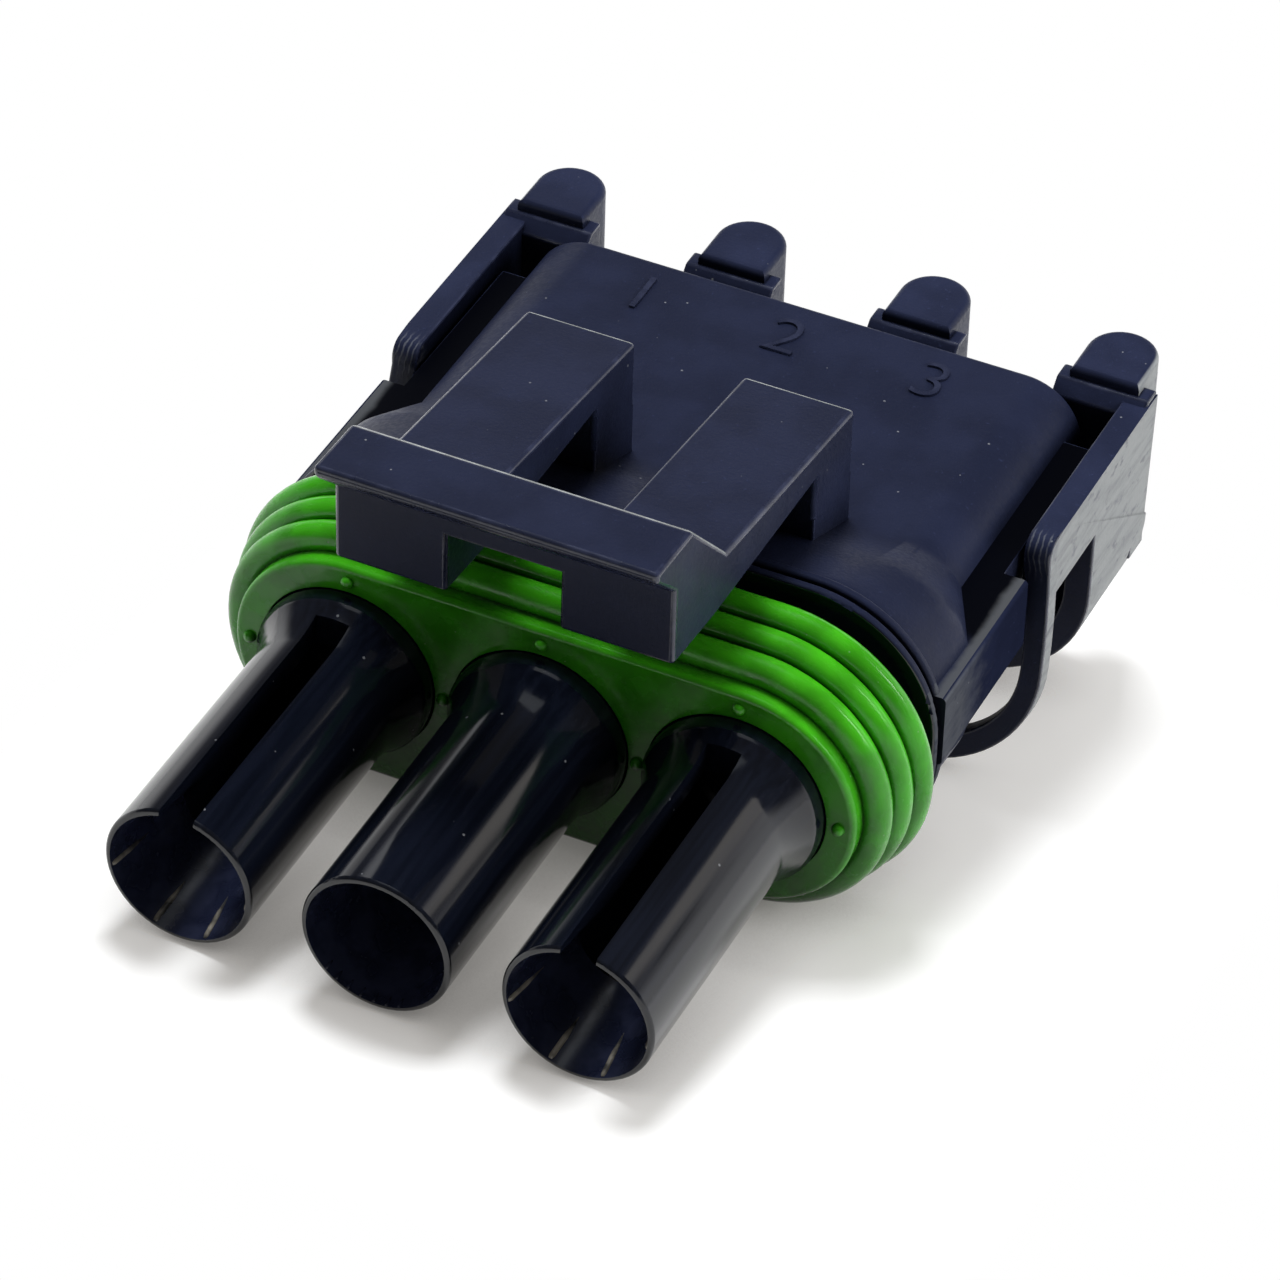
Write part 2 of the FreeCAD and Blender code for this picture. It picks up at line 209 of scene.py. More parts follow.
class Graph:
    """Adds nodes to a material's or a world's node tree and links them in few words."""

    def __init__(self, tree):
        self.tree = tree

    def node(self, kind, settings=None, **inputs):
        made = self.tree.nodes.new(kind)
        for key, value in (settings or {}).items():
            setattr(made, key, value)
        for key, value in inputs.items():
            self.feed(made, key.replace("_", " "), value)
        return made

    def feed(self, made, key, value):
        socket = made.inputs[int(key[1:])] if key[:1] == "i" and key[1:].isdigit() else made.inputs[key]
        if isinstance(value, bpy.types.NodeSocket):
            self.tree.links.new(value, socket)
        else:
            socket.default_value = value

    def maths(self, operation, a, b=0.0, clamp=False):
        made = self.node("ShaderNodeMath", {"operation": operation, "use_clamp": clamp}, i0=a, i1=b)
        return made.outputs[0]

    def ramp(self, value, low, high, bottom=0.0, top=1.0):
        """Maps value from low..high to bottom..top with soft ends."""
        made = self.node(
            "ShaderNodeMapRange", {"interpolation_type": "SMOOTHSTEP"},
            Value=value, From_Min=low, From_Max=high, To_Min=bottom, To_Max=top)
        return made.outputs["Result"]

    def blend(self, factor, a, b):
        made = self.node("ShaderNodeMix", {"data_type": "RGBA"})
        self.feed(made, "i0", factor)
        self.feed(made, "i6", a)
        self.feed(made, "i7", b)
        return made.outputs[2]

    def place(self, stretch=(1.0, 1.0, 1.0)):
        """The point on the object in millimetres, stretched along its axes."""
        coordinates = self.node("ShaderNodeTexCoord").outputs["Object"]
        scaled = self.node("ShaderNodeMapping", {"vector_type": "POINT"}, Vector=coordinates)
        scaled.inputs["Scale"].default_value = [s / MM for s in stretch]
        return scaled.outputs["Vector"]

    def noise(self, where, scale, detail=2.0, roughness=0.5, distortion=0.0):
        made = self.node(
            "ShaderNodeTexNoise", Vector=where, Scale=scale, Detail=detail, Roughness=roughness,
            Distortion=distortion)
        return made.outputs[0]

    def specks(self, where, scale, size):
        """Small round specks, about one in each cell: 1 inside a speck."""
        made = self.node(
            "ShaderNodeTexVoronoi", {"feature": "F1"}, Vector=where, Scale=scale, Randomness=1.0)
        return self.ramp(made.outputs["Distance"], size * 0.6, size, 1.0, 0.0)

    def painted_shade(self, distance, low, high, dark):
        """Painted shade: the value dark in crevices and under other pieces, where shade falls, and 1 in the
        open.
        """
        made = self.node("ShaderNodeAmbientOcclusion", {"samples": painted_shade_rays}, Distance=distance)
        return self.ramp(made.outputs["AO"], low, high, dark, 1.0)

    def bump(self, height, strength, distance, normal=None):
        made = self.node("ShaderNodeBump", Height=height, Strength=strength, Distance=distance)
        if normal is not None:
            self.feed(made, "Normal", normal)
        return made.outputs["Normal"]


def new_material(name):
    """A node material with one Principled shader. Returns the material, its graph and the shader."""
    material = bpy.data.materials.new(name)
    material.use_nodes = True
    shader = material.node_tree.nodes["Principled BSDF"]
    return material, Graph(material.node_tree), shader


def as_rgba(value):
    return (*value, 1.0)


def shades(base, dark, pale):
    """Two tones of one colour, dark and pale times as bright."""
    return as_rgba([c * dark for c in base]), as_rgba([min(1.0, c * pale) for c in base])


def grained_nylon(name, base, scuff=None, fade=None, bend=False, gloss=0.16):
    """Moulded black nylon with fine grain and dust, and painted shade in crevices and under other pieces.

    The outer sides are rubbed to the colour scuff where it is given, and less from fade on, a range along the
    part. A bend gives the creases of the lock's straps.
    """
    material, graph, shader = new_material(name)
    where = graph.place()
    cloudy = graph.noise(where, scale=0.35, detail=3.0)
    grain = graph.noise(where, scale=5.5, detail=3.0, roughness=0.6)
    tone = graph.blend(graph.ramp(cloudy, 0.35, 0.65), *shades(base, 0.88, 1.15))
    tone = graph.blend(graph.ramp(grain, 0.62, 0.75, 0.0, 0.5), tone, as_rgba([c * 2.2 for c in base]))
    streaks = graph.noise(graph.place((1.6, 0.25, 1.6)), scale=4.0, detail=2.0, distortion=0.6)
    dust = graph.specks(where, scale=0.8, size=0.045)
    tone = graph.blend(graph.maths("MULTIPLY", dust, 0.6), tone, grey_dust)
    rough = graph.ramp(grain, 0.3, 0.7, 0.36, 0.5)
    normal = graph.bump(grain, strength=0.55, distance=0.02 * MM)
    normal = graph.bump(streaks, 0.12, 0.02 * MM, normal=normal)
    if scuff is not None:
        rubbed = outer_side(graph, where)
        brushed = graph.noise(
            graph.place((0.5, 0.16, 1.1)), scale=2.2, detail=4.0, roughness=0.55, distortion=0.3)
        rubbed = graph.maths("MULTIPLY", rubbed, graph.ramp(brushed, 0.3, 0.6, 0.72, 1.0))
        pits = graph.noise(graph.place((0.8, 0.5, 0.9)), scale=1.7, detail=4.0, roughness=0.6)
        rubbed = graph.maths("MULTIPLY", rubbed, graph.ramp(pits, 0.32, 0.44, 0.55, 1.0))
        if fade is not None:
            along = graph.node("ShaderNodeSeparateXYZ", i0=where).outputs["Y"]
            along = graph.maths("ADD", along, graph.maths("MULTIPLY", pits, 4.0))
            rubbed = graph.maths("MULTIPLY", rubbed, graph.ramp(along, *fade, 0.28, 0.0))
        tone = graph.blend(rubbed, tone, as_rgba(scuff))
        rough = graph.maths("ADD", rough, graph.maths("MULTIPLY", rubbed, 0.08))
    if bend:
        creases = strap_creases(graph, where)
        tone = graph.blend(graph.maths("MULTIPLY", creases, 0.6), tone, crease_tone)
        normal = graph.bump(creases, 0.3, 0.04 * MM, normal=normal)
    # Painted shade: the tone goes towards black in crevices and under other pieces.
    tone = graph.blend(graph.painted_shade(distance=3.5 * MM, low=0.3, high=0.8, dark=0.2), black, tone)
    graph.feed(shader, "Base Color", tone)
    graph.feed(shader, "Roughness", rough)
    graph.feed(shader, "Normal", normal)
    shader.inputs["Specular IOR Level"].default_value = gloss
    return material


def outer_side(graph, where):
    """1 where a surface far from the middle faces out along the row."""
    facing = graph.node("ShaderNodeSeparateXYZ", i0=graph.node("ShaderNodeNewGeometry").outputs["Normal"])
    across = graph.node("ShaderNodeSeparateXYZ", i0=where).outputs["X"]
    return graph.ramp(graph.maths("MULTIPLY", facing.outputs["X"], across), 5.5, 11.5)


def strap_creases(graph, where):
    """Fine stress-whitened creases where the arm of the lock bends down into its strap."""
    spot = graph.node("ShaderNodeSeparateXYZ", i0=where)
    along = graph.ramp(spot.outputs["Y"], *crease_run, 1.0, 0.0)
    height = graph.ramp(spot.outputs["Z"], *crease_height)
    across = graph.maths("ABSOLUTE", spot.outputs["X"])
    wander = graph.maths("MULTIPLY", graph.noise(where, scale=1.5, detail=3.0), 0.3)
    run = graph.maths("ADD", across, graph.maths("MULTIPLY", spot.outputs["Z"], 0.12))
    run = graph.maths("ADD", run, wander)
    lines = graph.ramp(graph.maths("SINE", graph.maths("MULTIPLY", run, 27.0)), 0.3, 1.0)
    broken = graph.ramp(graph.noise(where, scale=1.4, detail=2.0), 0.40, 0.55, 0.25, 1.0)
    lines = graph.maths("MULTIPLY", lines, broken)
    return graph.maths("MULTIPLY", lines, graph.maths("MULTIPLY", along, height))


def trough_nylon(name, base, pale):
    """The tops of the rails: painted shade, nearly black, in the trough beside the body, and a painted
    highlight along their outer edges.
    """
    material, graph, shader = new_material(name)
    where = graph.place()
    spot = graph.node("ShaderNodeSeparateXYZ", i0=where)
    across = graph.maths("ABSOLUTE", spot.outputs["X"])
    wander = graph.maths("MULTIPLY", graph.noise(where, scale=0.8, detail=3.0), 0.4)
    trough_shade = graph.ramp(spot.outputs["Y"], *trough_shade_start)
    # Painted shade: nearly black in the trough from its front on.
    tone = graph.blend(trough_shade, as_rgba(base), as_rgba([c * 0.08 for c in base]))
    # Painted highlight: pale along the outer edges of the rails.
    edge = graph.ramp(graph.maths("ADD", across, wander), *trough_highlight_edge)
    graph.feed(shader, "Base Color", graph.blend(graph.maths("MULTIPLY", edge, 0.8), tone, as_rgba(pale)))
    shader.inputs["Roughness"].default_value = 0.5
    shader.inputs["Specular IOR Level"].default_value = 0.05
    return material


def burnished_nylon(name, base, pale):
    """The rounded edges of the mouldings: the same nylon, smooth and paler from handling."""
    material, graph, shader = new_material(name)
    wear = graph.noise(graph.place(), scale=0.9, detail=3.0)
    graph.feed(shader, "Base Color", graph.blend(graph.ramp(wear, 0.4, 0.65), as_rgba(base), as_rgba(pale)))
    graph.feed(shader, "Roughness", graph.ramp(wear, 0.3, 0.7, 0.30, 0.18))
    shader.inputs["IOR"].default_value = 1.55
    return material


def polished_nylon(name, base):
    """Black nylon from a polished mould: deep gloss, faint flow lines along the towers, fine dust."""
    material, graph, shader = new_material(name)
    where = graph.place()
    flow = graph.noise(graph.place((3.0, 0.12, 3.0)), scale=1.2, detail=3.0)
    dust = graph.specks(where, scale=0.75, size=0.05)
    tone = graph.blend(graph.ramp(flow, 0.3, 0.7), *shades(base, 1.0, 1.8))
    tone = graph.blend(graph.maths("MULTIPLY", dust, 0.5), tone, grey_dust)
    graph.feed(shader, "Base Color", tone)
    graph.feed(shader, "Roughness", graph.ramp(flow, 0.3, 0.7, 0.09, 0.17))
    graph.feed(shader, "Normal", graph.bump(flow, strength=0.08, distance=0.03 * MM))
    shader.inputs["IOR"].default_value = 1.52
    return material


def silicone(name, base):
    """Satin green silicone: soft under the skin, with wipe marks round the ribs, a little dust, and painted
    shade in its grooves and under the latch.
    """
    material, graph, shader = new_material(name)
    where = graph.place()
    cloudy = graph.noise(where, scale=0.5, detail=3.0)
    marks = graph.noise(
        graph.place((0.6, 2.2, 0.6)), scale=1.6, detail=4.0, roughness=0.55, distortion=0.4)
    skin = graph.noise(where, scale=4.0, detail=2.0)
    dust = graph.specks(where, scale=1.1, size=0.05)
    tone = graph.blend(graph.ramp(cloudy, 0.35, 0.65), *shades(base, 0.8, 1.15))
    tone = graph.blend(graph.maths("MULTIPLY", dust, 0.5), tone, green_dust)
    # Painted shade: the green goes towards black in the grooves and under the latch.
    tone = graph.blend(graph.painted_shade(distance=8 * MM, low=0.2, high=0.6, dark=0.25), black, tone)
    graph.feed(shader, "Base Color", tone)
    graph.feed(shader, "Roughness", graph.ramp(marks, 0.35, 0.65, 0.12, 0.32))
    normal = graph.bump(marks, strength=0.25, distance=0.03 * MM)
    graph.feed(shader, "Normal", graph.bump(skin, 0.12, 0.02 * MM, normal=normal))
    shader.inputs["Subsurface Weight"].default_value = 0.15
    shader.inputs["Subsurface Radius"].default_value = (0.3, 1.0, 0.2)
    shader.inputs["Subsurface Scale"].default_value = 0.4 * MM
    shader.inputs["IOR"].default_value = 1.43
    return material


def find_material(name, make, *values):
    """The material of that name, made once."""
    return bpy.data.materials.get(name) or make(name, *values)


def nylon_materials():
    """The grained faces and the burnished edges of a moulding."""
    base = tuple(bpy.context.scene.connector_colours.nylon)
    grained = find_material("grained_nylon", grained_nylon, base)
    pale = tuple(c * 1.5 + 0.009 for c in base)
    return grained, find_material("burnished_nylon", burnished_nylon, base, pale)


def edge_highlight_material():
    """The upper rear edges of the latch: a painted highlight where they catch the light from behind, on edges
    that are also worn pale.
    """
    edge = tuple(bpy.context.scene.connector_colours.edge)
    return find_material("rubbed_edge", burnished_nylon, tuple(c * 0.55 for c in edge), edge)


def rubbed_material(name, fade, bend, gloss, shade):
    """Grained nylon that is rubbed pale on its outer sides, shade times as bright elsewhere."""
    colours = bpy.context.scene.connector_colours
    base = tuple(c * shade for c in colours.nylon)
    return find_material(name, grained_nylon, base, tuple(colours.scuff), fade, bend, gloss)


# Meshes


def moulding(node, name, radius, segments, front=-1.0, bend=None):
    """A copy of a solid's mesh with rounded outer edges, which become faces of the second material.

    Edges in front of front and those on the seat of the latch stay sharp. A bend is the place of an edge
    along the row, as (y, z, radius), that gets a wide round first.
    """
    shape = bmesh.new()
    shape.from_mesh(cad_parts[node].data)
    bmesh.ops.remove_doubles(shape, verts=shape.verts, dist=weld_distance)
    bmesh.ops.dissolve_limit(
        shape, angle_limit=flat_angle, use_dissolve_boundaries=False, verts=shape.verts, edges=shape.edges)
    if bend:
        y, z, wide = bend
        corner = [
            e for e in shape.edges
            if all((v.co.yz - Vector((y, z))).length < 0.03 * MM for v in e.verts)
        ]
        bmesh.ops.bevel(
            shape, geom=corner, offset=wide, segments=6, profile=0.5, affect="EDGES", clamp_overlap=False)
    tight = {v for e in shape.edges if e.calc_length() < 1.2 * radius for v in e.verts}
    sharp = [
        e for e in shape.edges
        if e.is_convex and e.calc_face_angle(0.0) > round_angle and not tight.intersection(e.verts)
        and min(v.co.y for v in e.verts) > front
        and max(abs(v.co.z - latch_seat) for v in e.verts) > 0.01 * MM
    ]
    bmesh.ops.bevel(
        shape, geom=sharp, offset=radius, segments=segments, profile=0.5, affect="EDGES",
        clamp_overlap=False, material=burnished_slot)
    for face in shape.faces:
        face.smooth = True
    for edge in shape.edges:
        edge.smooth = edge.calc_face_angle(math.pi) < smooth_angle
    piece = add_piece(shape, name)
    piece.modifiers.new("flat_faces", "WEIGHTED_NORMAL").keep_sharp = True
    return piece


def funnel_bead(shape, x, angle, radius, start, end):
    """A half-round bead that lies along the wall of a funnel and runs out into it at its rear end."""
    sides = 6
    slope = (mouth_radius - bore_radius) / funnel_length
    inward = Vector((-math.sin(angle), 0.0, -math.cos(angle)))
    round_about = Vector((math.cos(angle), 0.0, -math.sin(angle)))
    middle = (start + end) / 2
    rings = []
    for y, size in ((start, radius * 0.6), (start + radius, radius), (middle, radius), (end, radius * 0.2)):
        centre = Vector((x, y, 0.0)) - inward * (mouth_radius - slope * y)
        turns = [math.pi * n / sides for n in range(sides + 1)]
        ring = [centre + round_about * (math.cos(t) * size) + inward * (math.sin(t) * size) for t in turns]
        rings.append([shape.verts.new(point - inward * (0.2 * radius)) for point in ring])
    for a, b in zip(rings, rings[1:]):
        for n in range(sides + 1):
            m = (n + 1) % (sides + 1)
            shape.faces.new((a[n], a[m], b[m], b[n]))
    shape.faces.new(rings[0][::-1])
    shape.faces.new(rings[-1])


def add_piece(shape, name):
    mesh = bpy.data.meshes.new(name)
    shape.to_mesh(mesh)
    shape.free()
    piece = bpy.data.objects.new(name, mesh)
    bpy.context.scene.collection.objects.link(piece)
    return piece


def dress(piece, body, slot, *nodes):
    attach(piece, body)
    if nodes:
        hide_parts(*nodes)


# Pieces


class CONNECTOR_OT_housing(bpy.types.Operator):
    """Housing: polished towers and grained body in one moulding"""

    bl_idname = "connector.housing"
    bl_label = "Housing"

    def execute(self, context):
        sizes = context.scene.connector_sizes
        colours = context.scene.connector_colours
        piece = moulding("housing", "housing_moulding", sizes.housing_round, 2, tower_root)
        polished = find_material("polished_nylon", polished_nylon, tuple(colours.polished))
        rubbed = rubbed_material("rubbed_rail", fade=rail_fade_span, bend=False, gloss=0.0, shade=1.0)
        trough = find_material("trough_nylon", trough_nylon, tuple(colours.nylon), trough_highlight_pale)
        for material in (*nylon_materials(), polished, rubbed, trough):
            piece.data.materials.append(material)
        for face in piece.data.polygons:
            spot = face.center
            column = pitch * min(max(round(spot.x / pitch), -1), 1)
            outward = Vector((spot.x - column, spot.z)).normalized()
            on_rail_top = abs(spot.z - rail_top) < 0.1 * MM and face.normal.z > 0.95
            if spot.y < funnel_length and outward.dot(face.normal.xz) < -0.5:
                face.material_index = burnished_slot
            elif spot.y < groove_rear:
                face.material_index = polished_slot
            # Painted shade on the rail tops in the trough beside the body.
            elif abs(spot.x) > body_flat and on_rail_top:
                face.material_index = painted_shade_slot
            elif abs(spot.x) > rail_face and spot.y < rail_rear:
                face.material_index = rail_slot
        dress(piece, "housing_body", "black_nylon", "housing")
        return {"FINISHED"}


class CONNECTOR_OT_fins(bpy.types.Operator):
    """Funnel fins: pale fins in the outer funnels, painted with a glint, and small beads at the middle mouth
    """

    bl_idname = "connector.fins"
    bl_label = "Funnel fins"

    def execute(self, context):
        sizes = context.scene.connector_sizes
        beads = bmesh.new()
        for x in (-pitch, pitch):
            for angle in fin_angles:
                funnel_bead(
                    beads, x, math.radians(angle), sizes.fin_radius, fin_inset, sizes.fin_length)
        for angle in bead_angles:
            funnel_bead(
                beads, 0.0, math.radians(angle), sizes.bead_radius, bead_inset, sizes.bead_length)
        bmesh.ops.recalc_face_normals(beads, faces=beads.faces)
        for face in beads.faces:
            face.smooth = len(face.verts) == 4
        fins = add_piece(beads, "funnel_fins")
        # Painted glint: the fins in the outer funnels are pale as if they caught the light.
        glint_material = find_material("worn_fins", burnished_nylon, fin_dark, fin_glint_pale)
        fins.data.materials.append(glint_material)
        fins.data.materials.append(nylon_materials()[1])
        for face in fins.data.polygons:
            if abs(face.center.x) < pitch / 2:
                face.material_index = burnished_slot
        dress(fins, "housing_body", "black_nylon")
        return {"FINISHED"}


class CONNECTOR_OT_seal(bpy.types.Operator):
    """Interface seal: green ribbed silicone ring"""

    bl_idname = "connector.seal"
    bl_label = "Interface seal"

    def execute(self, context):
        colours = context.scene.connector_colours
        piece = moulding("interface_seal", "seal_ring", context.scene.connector_sizes.seal_round, 2)
        green = find_material("satin_silicone", silicone, tuple(colours.silicone))
        piece.data.materials.append(green)
        piece.data.materials.append(green)
        dress(piece, "housing_body", "green_silicone", "interface_seal")
        return {"FINISHED"}


class CONNECTOR_OT_latch(bpy.types.Operator):
    """Mating latch: two arms and the crossbar"""

    bl_idname = "connector.latch"
    bl_label = "Mating latch"

    def execute(self, context):
        piece = moulding("mating_latch", "latch_moulding", context.scene.connector_sizes.latch_round, 3)
        for material in (*nylon_materials(), edge_highlight_material()):
            piece.data.materials.append(material)
        for face in piece.data.polygons:
            rounded = face.material_index == burnished_slot
            # Painted highlight on the upper rear edges of the latch.
            if rounded and face.center.z > rear_edge_low and face.normal.y > 0.3:
                face.material_index = highlight_edge_slot
        dress(piece, "latch", "black_nylon", "mating_latch")
        return {"FINISHED"}


class CONNECTOR_OT_lock(bpy.types.Operator):
    """Secondary lock: comb, shell, arms and straps, rubbed on the outside"""

    bl_idname = "connector.lock"
    bl_label = "Secondary lock"

    def execute(self, context):
        sizes = context.scene.connector_sizes
        bend = (lock_front, lock_top, sizes.strap_bend)
        piece = moulding("secondary_lock", "lock_moulding", sizes.lock_round, 2, bend=bend)
        rubbed = rubbed_material("rubbed_lock", fade=None, bend=True, gloss=0.16, shade=1.25)
        for material in (rubbed, nylon_materials()[1]):
            piece.data.materials.append(material)
        dress(piece, "lock", "black_nylon", "secondary_lock")
        return {"FINISHED"}


class CONNECTOR_OT_numbers(bpy.types.Operator):
    """Way numbers: plain raised numerals on top of the body"""

    bl_idname = "connector.numbers"
    bl_label = "Way numbers"

    def execute(self, context):
        sizes = context.scene.connector_sizes
        for n in range(ways):
            outline = bpy.data.curves.new(f"number_{n + 1}", "FONT")
            outline.body = str(n + 1)
            outline.size = sizes.number_height
            outline.extrude = sizes.number_relief
            outline.offset = number_thinning * sizes.number_height
            outline.align_x = "CENTER"
            number = bpy.data.objects.new(f"way_number_{n + 1}", outline)
            number.location = (number_pitch * (n - (ways - 1) / 2), number_line, body_top)
            number.data.materials.append(nylon_materials()[1])
            context.scene.collection.objects.link(number)
            dress(number, "housing_body", "black_nylon")
        return {"FINISHED"}


# Stage


def floor_material(base):
    """White floor that holds the shadow of the part, with a painted contact shadow close to it.

    The camera sees through it from below, beyond the shadow and where a piece reaches under it, as the open
    lock does.
    """
    material, graph, shader = new_material("floor_white")
    shader.inputs["Roughness"].default_value = 0.9
    shader.inputs["Specular IOR Level"].default_value = 0.1
    path = graph.node("ShaderNodeLightPath")
    # Painted contact shadow: close to the part the floor is darker and glows less.
    painted_contact_shadow = graph.painted_shade(distance=4 * MM, low=0.1, high=0.7, dark=0.3)
    glow = graph.node(
        "ShaderNodeEmission", Color=floor_glow, Strength=graph.maths("MULTIPLY", painted_contact_shadow, 0.36))
    nothing = graph.node("ShaderNodeEmission", Strength=0.0)
    seen = graph.maths("MAXIMUM", path.outputs["Is Camera Ray"], path.outputs["Is Glossy Ray"])
    seen = graph.maths("MAXIMUM", seen, path.outputs["Is Transmission Ray"])
    tone = graph.blend(painted_contact_shadow, floor_shade, as_rgba(base))
    graph.feed(shader, "Base Color", graph.blend(seen, as_rgba([c * 0.35 for c in base]), tone))
    lift = graph.node("ShaderNodeMixShader", i0=seen, i1=nothing.outputs[0], i2=glow.outputs[0])
    bright = graph.node("ShaderNodeAddShader", i0=shader.outputs[0], i1=lift.outputs[0])
    below = graph.node(
        "ShaderNodeAmbientOcclusion", {"inside": True, "samples": below_rays}, Distance=45 * MM)
    under = graph.ramp(below.outputs["AO"], 0.957, 0.997, 1.0, 0.0)
    spot = graph.node("ShaderNodeSeparateXYZ", i0=graph.place())
    aside = graph.maths("ABSOLUTE", graph.maths("SUBTRACT", spot.outputs["X"], shadow_middle[0]))
    along = graph.maths("ABSOLUTE", graph.maths("SUBTRACT", spot.outputs["Y"], shadow_middle[1]))
    beyond = graph.maths(
        "MAXIMUM", graph.ramp(aside, *shadow_half_width), graph.ramp(along, *shadow_half_length))
    clear = graph.maths("MAXIMUM", graph.node("ShaderNodeNewGeometry").outputs["Backfacing"], beyond)
    hole = graph.node("ShaderNodeBsdfTransparent")
    shown = graph.node("ShaderNodeMixShader", i0=under, i1=bright.outputs[0], i2=hole.outputs[0])
    shown = graph.node("ShaderNodeMixShader", i0=clear, i1=shown.outputs[0], i2=hole.outputs[0])
    surface = graph.node(
        "ShaderNodeMixShader", i0=path.outputs["Is Camera Ray"], i1=bright.outputs[0], i2=shown.outputs[0])
    output = material.node_tree.nodes["Material Output"]
    graph.feed(output, "Surface", surface.outputs[0])
    return material


def studio_world(fill, above):
    """White behind the part, an even fill, and a dim room above for the gloss of the towers."""
    world = bpy.data.worlds.new("studio")
    bpy.context.scene.world = world
    world.use_nodes = True
    graph = Graph(world.node_tree)
    path = graph.node("ShaderNodeLightPath")
    around = graph.node("ShaderNodeTexCoord").outputs["Generated"]
    direction = graph.node("ShaderNodeSeparateXYZ", i0=around)
    low = graph.ramp(direction.outputs["Z"], 0.05, 0.3, 1.0, 0.0)
    glossy = graph.maths("MULTIPLY", low, path.outputs["Is Glossy Ray"])
    seen = graph.maths("MAXIMUM", path.outputs["Is Camera Ray"], glossy)
    seen = graph.maths("MAXIMUM", seen, path.outputs["Is Transmission Ray"])
    room = graph.blend(path.outputs["Is Glossy Ray"], as_rgba([fill] * 3), as_rgba([above] * 3))
    tint = graph.node("ShaderNodeMix", {"data_type": "RGBA", "blend_type": "MULTIPLY"})
    graph.feed(tint, "i0", 1.0)
    graph.feed(tint, "i6", room)
    graph.feed(tint, "i7", room_tint)
    shown = graph.blend(seen, tint.outputs[2], white)
    graph.feed(world.node_tree.nodes["Background"], "Color", shown)


def area_light(name, direction, size, energy, tint, glossy=True, distance=lamp_distance):
    """A rectangular softbox that shines at the middle of the part.

    The direction leads from the part to the softbox. The gloss shows it where glossy is true.
    """
    lamp = bpy.data.lights.new(name, "AREA")
    lamp.shape = "RECTANGLE"
    lamp.size, lamp.size_y = size
    lamp.energy = energy
    lamp.color = tint
    away = Vector(direction).normalized()
    softbox = bpy.data.objects.new(name, lamp)
    softbox.location = part_middle + away * distance
    softbox.rotation_mode = "QUATERNION"
    softbox.rotation_quaternion = away.to_track_quat("Z", "Y")
    softbox.visible_glossy = glossy
    bpy.context.scene.collection.objects.link(softbox)
    return softbox


def add_floor(base):
    """The floor plane, which touches the seal in front and the roots of the straps behind."""
    along = (strap_rest - seal_rest).normalized() * floor_reach
    across = Vector((floor_reach, 0.0, 0.0))
    shape = bmesh.new()
    corners = [seal_rest + across * sx + along * sy for sx, sy in ((-1, -1), (1, -1), (1, 1), (-1, 1))]
    shape.faces.new([shape.verts.new(corner) for corner in corners])
    floor = add_piece(shape, "floor")
    floor.data.materials.append(floor_material(base))


def add_lights(stage):
    """Softboxes above and at the sides, a dim window, and strips at the back and for the seal."""
    side_size = (0.25, 0.2)
    side_tint = (0.98, 0.99, 1.0)
    strip_size = (0.07, 0.2)
    area_light(
        "overhead_softbox", (-0.19, 0.40, 1.0), (0.12, 0.12), stage.key_power, (0.96, 0.98, 1.0),
        glossy=False)
    area_light("overhead_window", (-0.10, 0.30, 1.0), (0.22, 0.22), stage.window_power, (0.90, 0.96, 1.0))
    area_light("right_softbox", (1.0, 0.25, 0.45), side_size, stage.right_power, side_tint, glossy=False)
    area_light("left_softbox", (-1.0, 0.25, 0.45), side_size, stage.left_power, side_tint, glossy=False)
    gleam = area_light("seal_strip", (0.80, 0.42, 0.42), (0.04, 0.2), stage.seal_power, (1.0, 0.99, 0.97))
    shiny = bpy.data.collections.new("satin_pieces")
    shiny.objects.link(bpy.data.objects["seal_ring"])
    gleam.light_linking.receiver_collection = shiny
    area_light(
        "left_strip", (-0.549, 0.703, 0.452), strip_size, stage.strip_power, (0.95, 0.97, 1.0),
        distance=strip_distance)
    area_light(
        "right_strip", (0.636, 0.703, 0.318), strip_size, stage.strip_power, (1.0, 0.95, 0.88),
        distance=strip_distance)


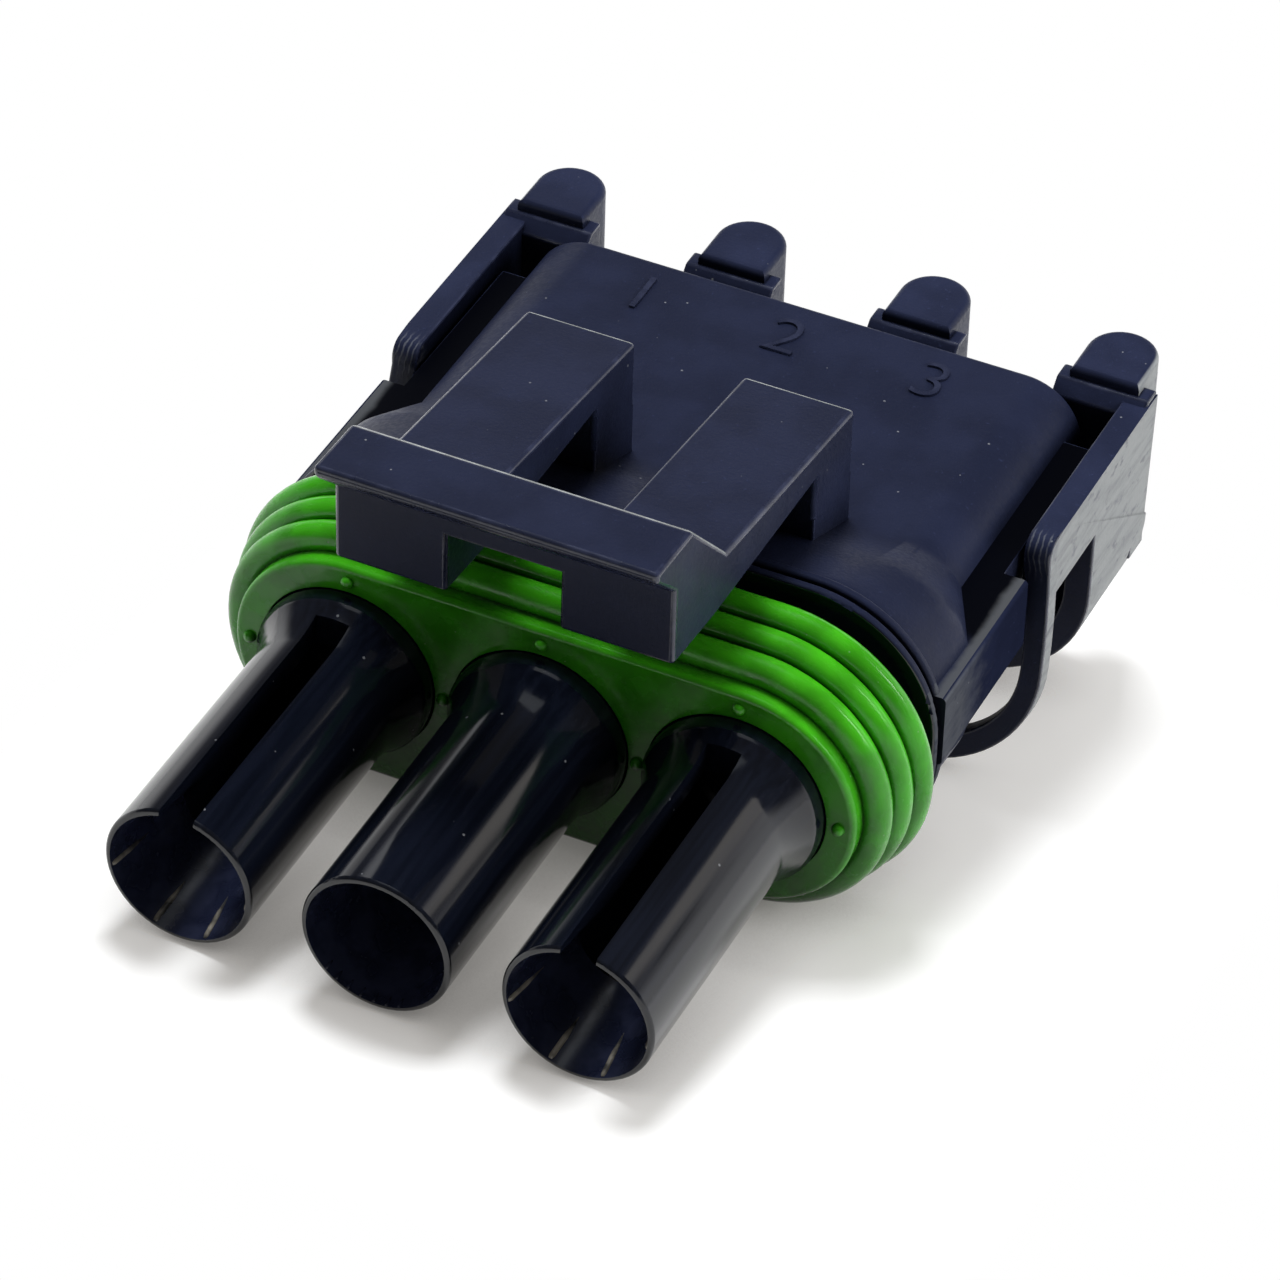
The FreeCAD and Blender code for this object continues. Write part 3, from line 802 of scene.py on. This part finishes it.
def add_camera(stage):
    """The camera, at the photograph's angle."""
    level = math.cos(stage.elevation)
    forward = Vector((
        -math.sin(stage.azimuth) * level, math.cos(stage.azimuth) * level, -math.sin(stage.elevation)))
    lens = bpy.data.cameras.new("camera")
    lens.lens = stage.lens
    lens.clip_start = 10 * MM
    lens.clip_end = 10.0
    camera = bpy.data.objects.new("camera", lens)
    camera.location = camera_aim - forward * stage.distance
    camera.rotation_mode = "QUATERNION"
    camera.rotation_quaternion = forward.to_track_quat("-Z", "Y") @ Quaternion((0, 0, 1), stage.roll)
    bpy.context.scene.collection.objects.link(camera)
    bpy.context.scene.camera = camera


class CONNECTOR_OT_stage(bpy.types.Operator):
    """Floor under the seal and the strap roots, softboxes, white surroundings and the camera"""

    bl_idname = "connector.stage"
    bl_label = "Stage"

    def execute(self, context):
        stage = context.scene.connector_stage
        add_floor(tuple(context.scene.connector_colours.floor))
        studio_world(stage.fill, stage.room)
        add_lights(stage)
        add_camera(stage)
        context.scene.view_settings.view_transform = "Standard"
        return {"FINISHED"}


class CONNECTOR_PT_panel(bpy.types.Panel):
    """Lists the pieces of the connector and their sizes and colours"""

    bl_idname = "CONNECTOR_PT_panel"
    bl_label = "Connector"
    bl_space_type = "VIEW_3D"
    bl_region_type = "UI"
    bl_category = "Connector"

    def draw(self, context):
        layout = self.layout
        for operator in operators:
            layout.operator(operator.bl_idname)
        for key in groups:
            group = getattr(context.scene, key)
            column = layout.column()
            for name in group.__annotations__:
                column.prop(group, name)


operators = (
    CONNECTOR_OT_housing, CONNECTOR_OT_fins, CONNECTOR_OT_seal, CONNECTOR_OT_latch, CONNECTOR_OT_lock,
    CONNECTOR_OT_numbers, CONNECTOR_OT_stage)
groups = {
    "connector_sizes": ConnectorSizes,
    "connector_colours": ConnectorColours,
    "connector_stage": ConnectorStage,
}


def register():
    for kind in (*groups.values(), *operators, CONNECTOR_PT_panel):
        bpy.utils.register_class(kind)
    for name, kind in groups.items():
        setattr(bpy.types.Scene, name, bpy.props.PointerProperty(type=kind))


def unregister():
    for name in groups:
        delattr(bpy.types.Scene, name)
    for kind in (CONNECTOR_PT_panel, *reversed(operators), *reversed(tuple(groups.values()))):
        bpy.utils.unregister_class(kind)


def main():
    register()
    for operator in operators:
        family, action = operator.bl_idname.split(".")
        getattr(getattr(bpy.ops, family), action)()
    bpy.context.view_layer.update()


if __name__ == "__main__":
    main()
